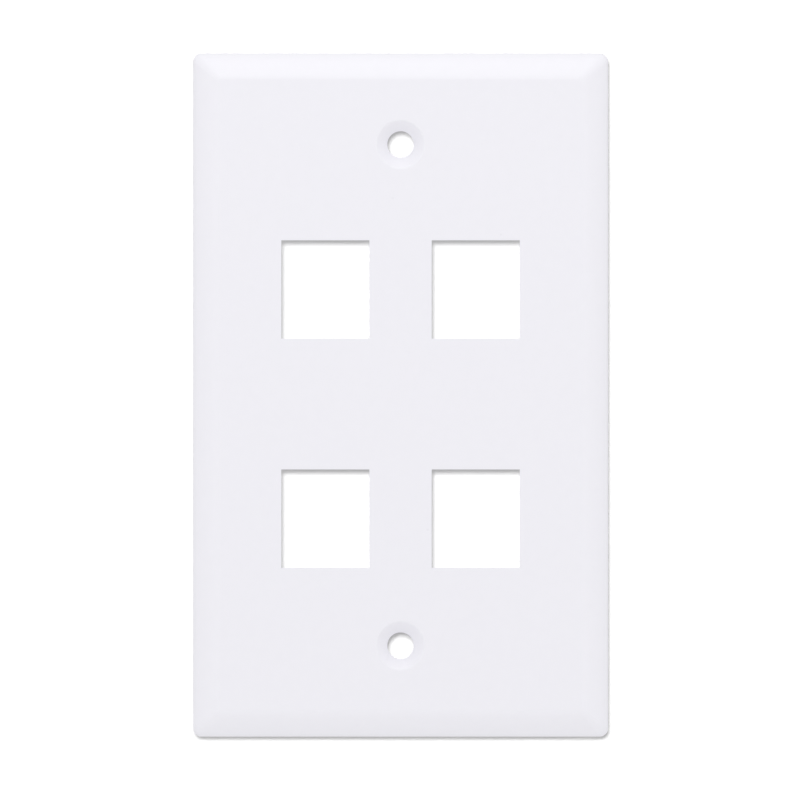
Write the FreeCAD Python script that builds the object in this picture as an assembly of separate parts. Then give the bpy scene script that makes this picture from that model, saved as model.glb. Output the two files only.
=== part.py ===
"""Four-port keystone faceplate for a single-gang wall box, moulded in one piece.

The origin is in the wall plane, midway between the two fixing screws. The plate stands
upright: +Z is up, the front face looks towards -Y and the sockets run back towards +Y.
All sizes are in millimetres.
"""
import FreeCAD, Part

import math
import os

Vector = FreeCAD.Vector

# Outer form of the plate
PLATE_WIDTH = 69.0
PLATE_HEIGHT = 113.6
PLATE_DEPTH = 6.0          # front face to wall plane
WALL = 2.2                 # moulded wall, the same on the face, the bevel and the rim

# Crowned bevel that runs round the front: a round at the rim, the crown, a round at the crease
BEVEL_WIDTH = 4.35         # all three together, seen from the front
RIM_BLEND = 2.0            # radius that turns the bevel into the square side
RIM_ANGLE = 45.0           # how steep the crown is where it meets the rim's round, degrees
CREASE_BLEND = 2.0         # radius that turns the bevel into the flat face
CREASE_ANGLE = 19.0        # how steep the crown is where it meets that round, degrees
BEVEL_STATIONS = 13        # outlines that the bevel is lofted through

# Corners seen from the front
RIM_CORNER = 1.4           # outside, at the wall
CREASE_CORNER = 0.5        # round the flat face
INSIDE_CORNER = 0.5        # inside the hollow back

# Ports: two columns and two rows
PORT_WIDTH = 14.65
PORT_HEIGHT = 16.35
PORT_PITCH_X = 25.0
PORT_PITCH_Z = 38.1
PORT_GROUP_DROP = 1.5      # centre of the four openings below the centre of the screws
PORT_COLUMNS = 2
PORT_ROWS = 2

# Keystone socket behind each port, depths from the front face
SOCKET_DEPTH = 10.0
SOCKET_WALL = 1.4
SOCKET_CORNER = 0.8
LATCH_RECESS = 4.0         # room above the opening for the jack's spring tab
LATCH_START = 4.0
HOOK_RECESS = 2.0          # room below the opening for the jack's fixed lug
HOOK_START = 6.5
CATCH_THICKNESS = 2.0      # ledges at the back that hold the jack in
CATCH_OVERHANG = 2.0
CATCH_LAND = 0.7           # flat tip of a ledge, before its lead-in slope

# Fixing screws
SCREW_PITCH = 83.34        # 3.281 in, the single-gang spacing
SCREW_HOLE = 4.4
COUNTERSINK = 8.0          # mouth at the front face
COUNTERSINK_ANGLE = 100.0  # included, degrees
MOUTH_BLEND = 0.5          # radius that softens the countersink's edge
BOSS_WALL = 2.3            # plastic round the screw hole

# Stiffening ribs behind the face
RIB_THICKNESS = 1.2
RIB_CLEARANCE = 1.0        # ribs stop this far short of the wall plane

CUT_PAST = 1.0             # how far a cutting tool runs past the faces it opens
OVERLAP = 0.5              # how far fused features reach into the wall that carries them
EXACT = 1e-4               # two places closer than this are the same

FACE_Y = -PLATE_DEPTH
BACK_OF_FACE_Y = FACE_Y + WALL


def outline(half_x, half_z, radius, y, centre_x=0.0, centre_z=0.0):
    """Closed wire at one y: an upright rectangle with round corners."""
    quarters = [((1, 1), 0.0), ((-1, 1), 90.0), ((-1, -1), 180.0), ((1, -1), 270.0)]
    arcs = []
    for (side_x, side_z), start in quarters:
        points = []
        for turn in (0.0, 45.0, 90.0):
            angle = math.radians(start + turn)
            x = centre_x + side_x * (half_x - radius) + radius * math.cos(angle)
            z = centre_z + side_z * (half_z - radius) + radius * math.sin(angle)
            points.append(Vector(x, y, z))
        arcs.append(Part.Arc(*points))
    edges = []
    for arc, following in zip(arcs, arcs[1:] + arcs[:1]):
        edges.append(arc.toShape())
        edges.append(Part.LineSegment(arc.EndPoint, following.StartPoint).toShape())
    return Part.Wire(edges)


def bevel_section(offset):
    """Points of the bevel's section as (inset from the side, depth from the face).

    The section is three arcs, each tangent to the next. Drawn in by an offset, each keeps
    its centre, so the wall between two such sections has one thickness. An offset larger
    than the radius of a round leaves the crown to end at the side or the face by itself.
    """
    rim_angle = math.radians(RIM_ANGLE)
    crease_angle = math.radians(CREASE_ANGLE)
    rounds_width = RIM_BLEND * (1.0 - math.sin(rim_angle)) + CREASE_BLEND * math.sin(crease_angle)
    crown = (BEVEL_WIDTH - rounds_width) / (math.sin(rim_angle) - math.sin(crease_angle))
    crown_inset = BEVEL_WIDTH + (crown - CREASE_BLEND) * math.sin(crease_angle)
    crown_depth = CREASE_BLEND + (crown - CREASE_BLEND) * math.cos(crease_angle)
    rim_depth = crown_depth - (crown - RIM_BLEND) * math.cos(rim_angle)

    crown -= offset
    rim = RIM_BLEND - offset
    crease = CREASE_BLEND - offset
    steepest = math.pi / 2 if rim > 0 else math.asin((crown_inset - offset) / crown)
    flattest = 0.0 if crease > 0 else math.acos((crown_depth - offset) / crown)
    section = []
    for station in range(BEVEL_STATIONS):
        slope = steepest + (flattest - steepest) * station / (BEVEL_STATIONS - 1)
        if rim > 0 and slope > rim_angle:
            inset, depth, radius = RIM_BLEND, rim_depth, rim
        elif crease > 0 and slope < crease_angle:
            inset, depth, radius = BEVEL_WIDTH, CREASE_BLEND, crease
        else:
            inset, depth, radius = crown_inset, crown_depth, crown
        section.append((inset - radius * math.sin(slope), depth - radius * math.cos(slope)))
    return section


def crowned_form(offset, rim_corner, crease_corner, rim_y):
    """The plate's outer form, or the same form drawn in by an offset on every side."""
    section = bevel_section(offset)
    outermost = section[0][0]
    innermost = section[-1][0]
    wires = []
    for inset, depth in section:
        share = (inset - outermost) / (innermost - outermost)
        corner = rim_corner + (crease_corner - rim_corner) * share
        wires.append(outline(PLATE_WIDTH / 2 - inset, PLATE_HEIGHT / 2 - inset, corner, FACE_Y + depth))
    bevel = Part.makeLoft(wires, True, False)

    side_y = FACE_Y + section[0][1]
    side = Part.Face(wires[0]).extrude(Vector(0, rim_y - side_y, 0))
    return side.fuse(bevel).removeSplitter()


def port_centres():
    """Centres of the openings as (x, z), row by row."""
    centres = []
    for row in range(PORT_ROWS):
        for column in range(PORT_COLUMNS):
            x = (column - (PORT_COLUMNS - 1) / 2) * PORT_PITCH_X
            z = ((PORT_ROWS - 1) / 2 - row) * PORT_PITCH_Z - PORT_GROUP_DROP
            centres.append((x, z))
    return centres


def screw_centres():
    """Heights of the two screws, both on the centre line."""
    return [SCREW_PITCH / 2, -SCREW_PITCH / 2]


def socket_block(x, z):
    """Outside of one keystone socket, with room for both recesses and a wall all round."""
    top = PORT_HEIGHT / 2 + LATCH_RECESS + SOCKET_WALL
    bottom = PORT_HEIGHT / 2 + HOOK_RECESS + SOCKET_WALL
    half_x = PORT_WIDTH / 2 + SOCKET_WALL
    half_z = (top + bottom) / 2
    start_y = BACK_OF_FACE_Y - OVERLAP
    wire = outline(half_x, half_z, SOCKET_CORNER, start_y, x, z + (top - bottom) / 2)
    return Part.Face(wire).extrude(Vector(0, FACE_Y + SOCKET_DEPTH - start_y, 0))


def jack_space(x, z):
    """What a jack takes out of its socket: the opening, both recesses and the lead-in slopes."""
    top = PORT_HEIGHT / 2
    bottom = -PORT_HEIGHT / 2
    roof = top + LATCH_RECESS
    floor = bottom - HOOK_RECESS
    ledge = SOCKET_DEPTH - CATCH_THICKNESS
    slope = ledge + CATCH_LAND
    side_view = [
        (-CUT_PAST, bottom),
        (HOOK_START, bottom),
        (HOOK_START, floor),
        (ledge, floor),
        (ledge, floor + CATCH_OVERHANG),
        (slope, floor + CATCH_OVERHANG),
        (SOCKET_DEPTH, floor + CATCH_OVERHANG / 2),
        (SOCKET_DEPTH + CUT_PAST, floor + CATCH_OVERHANG / 2),
        (SOCKET_DEPTH + CUT_PAST, roof - CATCH_OVERHANG / 2),
        (SOCKET_DEPTH, roof - CATCH_OVERHANG / 2),
        (slope, roof - CATCH_OVERHANG),
        (ledge, roof - CATCH_OVERHANG),
        (ledge, roof),
        (LATCH_START, roof),
        (LATCH_START, top),
        (-CUT_PAST, top),
    ]
    points = [Vector(x - PORT_WIDTH / 2, FACE_Y + depth, z + height) for depth, height in side_view]
    wire = Part.makePolygon(points + points[:1])
    return Part.Face(wire).extrude(Vector(PORT_WIDTH, 0, 0))


def screw_boss(z):
    """Round boss from the face to the wall plane, so that a tight screw can't bow the plate."""
    start_y = BACK_OF_FACE_Y - OVERLAP
    radius = SCREW_HOLE / 2 + BOSS_WALL
    return Part.makeCylinder(radius, -start_y, Vector(0, start_y, z), Vector(0, 1, 0))


def screw_hole(z):
    """Clearance hole with a countersink at the front face."""
    hole_radius = SCREW_HOLE / 2
    slope = math.tan(math.radians(COUNTERSINK_ANGLE / 2))
    depth = (COUNTERSINK / 2 - hole_radius) / slope
    mouth_radius = COUNTERSINK / 2 + CUT_PAST * slope
    start = Vector(0, FACE_Y - CUT_PAST, z)
    cone = Part.makeCone(mouth_radius, hole_radius, depth + CUT_PAST, start, Vector(0, 1, 0))
    hole = Part.makeCylinder(hole_radius, PLATE_DEPTH + 2 * CUT_PAST, start, Vector(0, 1, 0))
    return cone.fuse(hole)


def ribs():
    """Ribs on the centre lines of the sockets and the screws, from rim to rim."""
    start_y = BACK_OF_FACE_Y - OVERLAP
    height = -RIB_CLEARANCE - start_y
    half = RIB_THICKNESS / 2
    upright = sorted({x for x, z in port_centres()})
    level = sorted({z for x, z in port_centres()}) + screw_centres()
    bars = []
    for x in upright:
        corner = Vector(x - half, start_y, -PLATE_HEIGHT / 2)
        bars.append(Part.makeBox(RIB_THICKNESS, height, PLATE_HEIGHT, corner))
    for z in level:
        corner = Vector(-PLATE_WIDTH / 2, start_y, z - half)
        bars.append(Part.makeBox(PLATE_WIDTH, height, RIB_THICKNESS, corner))
    lattice = bars[0].fuse(bars[1:])
    return lattice.common(crowned_form(WALL / 2, INSIDE_CORNER, INSIDE_CORNER, 0.0))


def soften_mouths(body):
    """Round the edge where each countersink meets the flat face."""
    mouths = []
    for edge in body.Edges:
        curve = edge.Curve
        if isinstance(curve, Part.Circle) and abs(curve.Center.y - FACE_Y) < EXACT:
            mouths.append(edge)
    return body.makeFillet(MOUTH_BLEND, mouths)


def faceplate():
    """The whole moulding: shell, sockets, bosses and ribs, then everything that is open."""
    shell = crowned_form(0.0, RIM_CORNER, CREASE_CORNER, 0.0)
    shell = shell.cut(crowned_form(WALL, INSIDE_CORNER, INSIDE_CORNER, CUT_PAST))
    carried = [socket_block(x, z) for x, z in port_centres()]
    carried += [screw_boss(z) for z in screw_centres()]
    carried.append(ribs())
    open_space = [jack_space(x, z) for x, z in port_centres()]
    open_space += [screw_hole(z) for z in screw_centres()]
    return soften_mouths(shell.fuse(carried).cut(open_space).removeSplitter())


def save(shape, node):
    """Write one node's STEP file, after a check that it is one sound solid."""
    if not shape.isValid() or len(shape.Solids) != 1:
        raise ValueError(f"{node} isn't one valid solid")
    box = shape.BoundBox
    print(f"{node}: {shape.Volume:.1f} mm3, {len(shape.Faces)} faces,", end=" ")
    print(f"{box.XLength:.2f} x {box.YLength:.2f} x {box.ZLength:.2f} mm")
    shape.Solids[0].exportStep(os.path.join("parts", f"{node}.step"))


os.makedirs("parts", exist_ok=True)
save(faceplate(), "faceplate")
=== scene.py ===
"""Studio scene for a four-port keystone faceplate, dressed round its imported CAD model.

The file is laid out as an add-on and run as a script. It loads the CAD model as a fixed
frame, gives the moulding its finish, and sets up the stage, the light and the camera.
All lengths are in metres.
"""
import math

import bmesh
import bpy
from bpy.props import FloatProperty, FloatVectorProperty, PointerProperty
from mathutils import Matrix, Vector


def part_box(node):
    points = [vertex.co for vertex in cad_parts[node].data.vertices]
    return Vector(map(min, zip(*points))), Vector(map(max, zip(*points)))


bl_info = {
    "name": "Keystone Faceplate Studio",
    "version": (1, 0, 0),
    "blender": (4, 5, 0),
    "location": "View3D > Sidebar > Faceplate",
    "description": "Dresses a moulded keystone faceplate and sets up its studio",
    "category": "Object",
}

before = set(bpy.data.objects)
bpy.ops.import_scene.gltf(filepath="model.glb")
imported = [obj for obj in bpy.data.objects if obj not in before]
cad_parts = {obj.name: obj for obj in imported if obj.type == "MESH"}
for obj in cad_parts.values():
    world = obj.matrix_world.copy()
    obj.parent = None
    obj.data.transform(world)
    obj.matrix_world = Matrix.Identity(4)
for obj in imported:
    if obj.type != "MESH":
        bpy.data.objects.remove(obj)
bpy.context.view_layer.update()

PLATE = "faceplate"
PLATE_LOW, PLATE_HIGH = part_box(PLATE)
PLATE_MIDDLE = (PLATE_LOW + PLATE_HIGH) / 2
FACE_Y = PLATE_LOW.y
BACK_Y = PLATE_HIGH.y

MM = 0.001
QUARTER_TURN = math.radians(90.0)
WHITE = (1.0, 1.0, 1.0, 1.0)
ABS_IOR = 1.54

# Octaves of the noise patterns
CLOUD_DETAIL = 2.0
GRAIN_DETAIL = 3.0
WAVE_DETAIL = 1.0

# The tent's light changes between this far before and behind the plate, where 1 is dead ahead
TENT_TURN = 0.5


def srgb(code):
    """Linear red, green and blue from a six-digit sRGB hex value."""
    channels = [int(code[start:start + 2], 16) / 255 for start in (0, 2, 4)]
    return [c / 12.92 if c <= 0.04045 else ((c + 0.055) / 1.055) ** 2.4 for c in channels]


def grey(code):
    """The single linear value of a grey sRGB hex value."""
    return srgb(code)[0]


def add_node(tree, kind, inputs=None, **settings):
    """Add a node with its settings, and set or link its inputs, given by name or number."""
    node = tree.nodes.new(kind)
    for name, value in settings.items():
        setattr(node, name, value)
    for name, value in (inputs or {}).items():
        if isinstance(value, bpy.types.NodeSocket):
            tree.links.new(value, node.inputs[name])
        else:
            node.inputs[name].default_value = value
    return node


def empty_tree(owner):
    """Node tree of a new material or world, with nothing in it."""
    owner.use_nodes = True
    owner.node_tree.nodes.clear()
    return owner.node_tree


# ---------------------------------------------------------------- moulding


class FACEPLATE_PG_moulding(bpy.types.PropertyGroup):
    """Finish of the moulded plate"""

    colour: FloatVectorProperty(
        name="Plastic", description="Colour of the white plastic",
        subtype="COLOR", size=3, min=0.0, max=1.0, default=srgb("F1F0F6"))
    cloud_colour: FloatVectorProperty(
        name="Clouding", description="Colour where the pigment has mixed in a little thinner",
        subtype="COLOR", size=3, min=0.0, max=1.0, default=srgb("EFEEF4"))
    cloud_width: FloatProperty(
        name="Clouding width", description="Width of those places",
        subtype="DISTANCE", min=0.1 * MM, default=1.6 * MM)
    fleck_colour: FloatVectorProperty(
        name="Fleck", description="Colour of the rare specks in the plastic",
        subtype="COLOR", size=3, min=0.0, max=1.0, default=srgb("E9E8EE"))
    fleck_spacing: FloatProperty(
        name="Fleck spacing", description="Distance between specks",
        subtype="DISTANCE", min=0.1 * MM, default=9.0 * MM)
    fleck_size: FloatProperty(
        name="Fleck size", description="Radius of a speck, as a share of the spacing",
        min=0.0, default=0.03)
    roughness: FloatProperty(
        name="Roughness", description="Roughness of the satin skin",
        min=0.0, max=1.0, default=0.38)
    grain_width: FloatProperty(
        name="Grain width", description="Width of the etched grain",
        subtype="DISTANCE", min=0.01 * MM, default=0.35 * MM)
    grain_depth: FloatProperty(
        name="Grain depth", description="Depth of the etched grain",
        subtype="DISTANCE", default=0.003 * MM)
    wave_width: FloatProperty(
        name="Wave width", description="Width of the slow waves that cooling leaves",
        subtype="DISTANCE", min=0.1 * MM, default=22.0 * MM)
    wave_depth: FloatProperty(
        name="Wave depth", description="Depth of those waves",
        subtype="DISTANCE", default=0.02 * MM)


def satin_abs(finish):
    """ABS, injection-moulded in a finely etched tool: a cool white satin skin.

    The grain only just breaks up reflections. A real etch is nearer 0.1 mm wide and too fine
    to show, so it is drawn coarser. The slow waves are what uneven cooling leaves, and the
    colour is almost even, with faint clouding and a speck of pigment here and there.
    """
    material = bpy.data.materials.new("satin_moulded_abs")
    tree = empty_tree(material)
    place = add_node(tree, "ShaderNodeTexCoord").outputs["Object"]

    clouds = add_node(
        tree, "ShaderNodeTexNoise",
        {"Vector": place, "Scale": 1.0 / finish.cloud_width, "Detail": CLOUD_DETAIL})
    clouded = add_node(
        tree, "ShaderNodeMix",
        {"Factor": clouds.outputs["Fac"],
         "A": (*finish.colour, 1.0), "B": (*finish.cloud_colour, 1.0)},
        data_type="RGBA")
    cells = add_node(
        tree, "ShaderNodeTexVoronoi", {"Vector": place, "Scale": 1.0 / finish.fleck_spacing})
    speck = add_node(
        tree, "ShaderNodeMapRange",
        {"Value": cells.outputs["Distance"], "From Min": 0.0, "From Max": finish.fleck_size,
         "To Min": 1.0, "To Max": 0.0})
    colour = add_node(
        tree, "ShaderNodeMix",
        {"Factor": speck.outputs["Result"],
         "A": clouded.outputs["Result"], "B": (*finish.fleck_colour, 1.0)},
        data_type="RGBA")

    waves = add_node(
        tree, "ShaderNodeTexNoise",
        {"Vector": place, "Scale": 1.0 / finish.wave_width, "Detail": WAVE_DETAIL})
    waved = add_node(
        tree, "ShaderNodeBump",
        {"Height": waves.outputs["Fac"], "Strength": 1.0, "Distance": finish.wave_depth})
    grain = add_node(
        tree, "ShaderNodeTexNoise",
        {"Vector": place, "Scale": 1.0 / finish.grain_width, "Detail": GRAIN_DETAIL})
    grained = add_node(
        tree, "ShaderNodeBump",
        {"Height": grain.outputs["Fac"], "Strength": 1.0, "Distance": finish.grain_depth,
         "Normal": waved.outputs["Normal"]})

    skin = add_node(
        tree, "ShaderNodeBsdfPrincipled",
        {"Base Color": colour.outputs["Result"], "Roughness": finish.roughness, "IOR": ABS_IOR,
         "Normal": grained.outputs["Normal"]})
    add_node(tree, "ShaderNodeOutputMaterial", {"Surface": skin.outputs["BSDF"]})
    return material


class FACEPLATE_OT_moulding(bpy.types.Operator):
    """Give the moulded faceplate its satin plastic finish"""

    bl_idname = "faceplate.moulding"
    bl_label = "Finish Moulding"

    def execute(self, context):
        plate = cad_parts[PLATE]
        plate.data.materials[0] = satin_abs(context.scene.faceplate_moulding)
        return {"FINISHED"}


# ---------------------------------------------------------------- stage


class FACEPLATE_PG_stage(bpy.types.PropertyGroup):
    """Backdrop, floor, light and camera"""

    card_size: FloatProperty(
        name="Card size", description="Width of the backdrop and of the floor",
        subtype="DISTANCE", default=3.0)
    backdrop_gap: FloatProperty(
        name="Backdrop gap", description="From the back of the sockets to the backdrop",
        subtype="DISTANCE", default=3.0 * MM)
    floor_drop: FloatProperty(
        name="Floor drop", description="From the plate's lower edge to the floor",
        subtype="DISTANCE", default=0.25)
    card_glow: FloatProperty(
        name="Card glow", description="Light that the cards give off by themselves",
        min=0.0, default=0.3)
    backdrop_grey: FloatProperty(
        name="Backdrop grey", description="Share of light that the backdrop returns",
        min=0.0, max=1.0, default=grey("7C7C7C"))
    floor_grey: FloatProperty(
        name="Floor grey", description="Share of light that the floor returns",
        min=0.0, max=1.0, default=grey("EAEAEA"))
    tent_strength: FloatProperty(
        name="Tent strength", description="Light that comes from all sides",
        min=0.0, default=0.95)
    tent_rear: FloatProperty(
        name="Tent rear", description="Share of that light that comes from behind the plate",
        min=0.0, default=0.85)
    port_width: FloatProperty(
        name="Lens port", description="Width of the dark port round the lens, seen from the plate",
        subtype="ANGLE", default=math.radians(28.0))
    port_share: FloatProperty(
        name="Port share", description="Share of the tent's light in the middle of that port",
        min=0.0, default=0.1)
    softbox_power: FloatProperty(
        name="Softbox power", description="Power of the softbox above the front",
        subtype="POWER", default=0.42)
    softbox_place: FloatVectorProperty(
        name="Softbox place", description="Middle of the softbox, from the middle of the plate",
        subtype="XYZ", unit="LENGTH", size=3, default=(-0.015, -0.3, 0.4))
    softbox_width: FloatProperty(
        name="Softbox width", description="Across the front",
        subtype="DISTANCE", default=0.28)
    softbox_length: FloatProperty(
        name="Softbox length", description="From its front edge to its back edge",
        subtype="DISTANCE", default=0.6)
    shadow_strength: FloatProperty(
        name="Shadow lamp", description="Strength of the lamp that lights the backdrop alone",
        min=0.0, default=11.0)
    shadow_softness: FloatProperty(
        name="Shadow softness", description="Width of that lamp, seen from the backdrop",
        subtype="ANGLE", default=math.radians(5.1))
    shadow_lean: FloatVectorProperty(
        name="Shadow lean", description="Direction from the backdrop to that lamp",
        subtype="DIRECTION", size=3, default=(-0.025, -1.0, 0.0555))
    fill: FloatProperty(
        name="Fill", description="Share of the view's height that the plate takes up",
        min=0.05, max=1.0, default=0.854)
    aim_drop: FloatProperty(
        name="Aim drop", description="How far below the plate's middle the camera looks",
        subtype="DISTANCE", default=0.83 * MM)
    aim_left: FloatProperty(
        name="Aim left", description="How far left of the plate's middle the camera looks",
        subtype="DISTANCE", default=0.09 * MM)
    camera_distance: FloatProperty(
        name="Camera distance", description="From the front face to the camera",
        subtype="DISTANCE", default=0.6)


def studio_card(name, grey_share, glow):
    """Matt white card that only the camera sees, and only from its front.

    It is out of the way of the light and of views from behind. Its own glow keeps it white
    inside the deep sockets, and the light that it returns carries the plate's shadow.
    """
    material = bpy.data.materials.new(name)
    tree = empty_tree(material)
    matt = add_node(
        tree, "ShaderNodeBsdfDiffuse", {"Color": (grey_share, grey_share, grey_share, 1.0)})
    glowing = add_node(tree, "ShaderNodeEmission", {"Color": WHITE, "Strength": glow})
    card = add_node(
        tree, "ShaderNodeAddShader", {0: matt.outputs["BSDF"], 1: glowing.outputs["Emission"]})
    nothing = add_node(tree, "ShaderNodeBsdfTransparent")
    ray = add_node(tree, "ShaderNodeLightPath")
    side = add_node(tree, "ShaderNodeNewGeometry")
    seen = add_node(
        tree, "ShaderNodeMath",
        {0: ray.outputs["Is Camera Ray"], 1: side.outputs["Backfacing"]},
        operation="SUBTRACT", use_clamp=True)
    surface = add_node(
        tree, "ShaderNodeMixShader",
        {0: seen.outputs["Value"], 1: nothing.outputs["BSDF"], 2: card.outputs["Shader"]})
    add_node(tree, "ShaderNodeOutputMaterial", {"Surface": surface.outputs["Shader"]})
    return material


def flat_card(name, size, turn, middle, material):
    """Square stage card, turned and moved into place in its mesh."""
    shape = bmesh.new()
    bmesh.ops.create_grid(shape, x_segments=1, y_segments=1, size=size / 2)
    bmesh.ops.transform(shape, matrix=Matrix.Translation(middle) @ turn, verts=shape.verts)
    mesh = bpy.data.meshes.new(name)
    shape.to_mesh(mesh)
    shape.free()
    mesh.materials.append(material)
    card = bpy.data.objects.new(name, mesh)
    bpy.context.scene.collection.objects.link(card)
    return card


def lamp_object(name, lamp, place, towards_lamp):
    """Lamp at a place, shining against the direction that leads to it."""
    holder = bpy.data.objects.new(name, lamp)
    holder.location = place
    holder.rotation_euler = Vector(towards_lamp).to_track_quat("Z", "Y").to_euler()
    bpy.context.scene.collection.objects.link(holder)
    return holder


def light_tent(stage):
    """World that lights from all sides and shows as plain white.

    It gives a little less from behind the plate, and it has a dark port round the lens, so
    that a slope at the front catches more light than the flat face does.
    """
    world = bpy.data.worlds.new("light_tent")
    tree = empty_tree(world)
    direction = add_node(tree, "ShaderNodeTexCoord").outputs["Generated"]
    backwards = add_node(tree, "ShaderNodeSeparateXYZ", {"Vector": direction}).outputs["Y"]
    port = add_node(
        tree, "ShaderNodeMapRange",
        {"Value": backwards, "From Min": -1.0, "From Max": -math.cos(stage.port_width / 2),
         "To Min": stage.port_share, "To Max": 1.0},
        interpolation_type="SMOOTHSTEP")
    rear = add_node(
        tree, "ShaderNodeMapRange",
        {"Value": backwards, "From Min": -TENT_TURN, "From Max": TENT_TURN,
         "To Min": 1.0, "To Max": stage.tent_rear},
        interpolation_type="SMOOTHSTEP")
    ray = add_node(tree, "ShaderNodeLightPath")
    strength = add_node(
        tree, "ShaderNodeMix",
        {"Factor": ray.outputs["Is Glossy Ray"], "A": stage.tent_strength, "B": 1.0})
    shaped = add_node(
        tree, "ShaderNodeMath", {0: port.outputs["Result"], 1: rear.outputs["Result"]},
        operation="MULTIPLY")
    level = add_node(
        tree, "ShaderNodeMath", {0: strength.outputs["Result"], 1: shaped.outputs["Value"]},
        operation="MULTIPLY")
    shown = add_node(
        tree, "ShaderNodeMix",
        {"Factor": ray.outputs["Is Camera Ray"], "A": level.outputs["Value"], "B": 1.0})
    tent = add_node(
        tree, "ShaderNodeBackground", {"Color": WHITE, "Strength": shown.outputs["Result"]})
    add_node(tree, "ShaderNodeOutputWorld", {"Surface": tent.outputs["Background"]})
    return world


def softbox(stage):
    """Hang a long softbox over the plate's front, to brighten the upper bevel."""
    lamp = bpy.data.lights.new("softbox", "AREA")
    lamp.energy = stage.softbox_power
    lamp.shape = "RECTANGLE"
    lamp.size = stage.softbox_width
    lamp.size_y = stage.softbox_length
    place = Vector(stage.softbox_place)
    lamp_object("softbox", lamp, PLATE_MIDDLE + place, place)


def shadow_lamp(stage, backdrop):
    """Light nothing but the backdrop, so that the plate's narrow shadow falls there."""
    lamp = bpy.data.lights.new("shadow_lamp", "SUN")
    lamp.energy = stage.shadow_strength
    lamp.angle = stage.shadow_softness
    holder = lamp_object("shadow_lamp", lamp, PLATE_MIDDLE, stage.shadow_lean)
    receivers = bpy.data.collections.new("shadow_lamp_receivers")
    receivers.objects.link(backdrop)
    holder.light_linking.receiver_collection = receivers


def front_camera(stage):
    """Camera square to the face, as with a long lens."""
    data = bpy.data.cameras.new("camera")
    data.type = "ORTHO"
    data.ortho_scale = (PLATE_HIGH.z - PLATE_LOW.z) / stage.fill
    camera = bpy.data.objects.new("camera", data)
    camera.location = (
        PLATE_MIDDLE.x - stage.aim_left,
        FACE_Y - stage.camera_distance,
        PLATE_MIDDLE.z - stage.aim_drop)
    camera.rotation_euler = (QUARTER_TURN, 0.0, 0.0)
    bpy.context.scene.collection.objects.link(camera)
    return camera


class FACEPLATE_OT_stage(bpy.types.Operator):
    """Set up the backdrop, the floor, the light and the camera"""

    bl_idname = "faceplate.stage"
    bl_label = "Set Up Stage"

    def execute(self, context):
        scene = context.scene
        stage = scene.faceplate_stage
        upright = Matrix.Rotation(QUARTER_TURN, 4, "X")
        flat = Matrix.Identity(4)
        floor_z = PLATE_LOW.z - stage.floor_drop
        backdrop = flat_card(
            "backdrop", stage.card_size, upright,
            Vector((0.0, BACK_Y + stage.backdrop_gap, floor_z + stage.card_size / 2)),
            studio_card("backdrop_card", stage.backdrop_grey, stage.card_glow))
        flat_card(
            "floor", stage.card_size, flat, Vector((0.0, 0.0, floor_z)),
            studio_card("floor_card", stage.floor_grey, stage.card_glow))
        scene.world = light_tent(stage)
        softbox(stage)
        shadow_lamp(stage, backdrop)
        scene.camera = front_camera(stage)
        scene.view_settings.view_transform = "Standard"
        return {"FINISHED"}


# ---------------------------------------------------------------- panel and run


class FACEPLATE_PT_panel(bpy.types.Panel):
    """Lists the steps and their settings"""

    bl_label = "Keystone Faceplate"
    bl_idname = "FACEPLATE_PT_panel"
    bl_space_type = "VIEW_3D"
    bl_region_type = "UI"
    bl_category = "Faceplate"

    def draw(self, context):
        scene = context.scene
        steps = (
            (FACEPLATE_OT_moulding, scene.faceplate_moulding),
            (FACEPLATE_OT_stage, scene.faceplate_stage))
        for operator, settings in steps:
            box = self.layout.box()
            for name in settings.__annotations__:
                box.prop(settings, name)
            box.operator(operator.bl_idname)


CLASSES = (
    FACEPLATE_PG_moulding,
    FACEPLATE_PG_stage,
    FACEPLATE_OT_moulding,
    FACEPLATE_OT_stage,
    FACEPLATE_PT_panel,
)


def register():
    for cls in CLASSES:
        bpy.utils.register_class(cls)
    bpy.types.Scene.faceplate_moulding = PointerProperty(type=FACEPLATE_PG_moulding)
    bpy.types.Scene.faceplate_stage = PointerProperty(type=FACEPLATE_PG_stage)


def unregister():
    del bpy.types.Scene.faceplate_stage
    del bpy.types.Scene.faceplate_moulding
    for cls in reversed(CLASSES):
        bpy.utils.unregister_class(cls)


def main():
    register()
    bpy.ops.faceplate.moulding()
    bpy.ops.faceplate.stage()


if __name__ == "__main__":
    main()
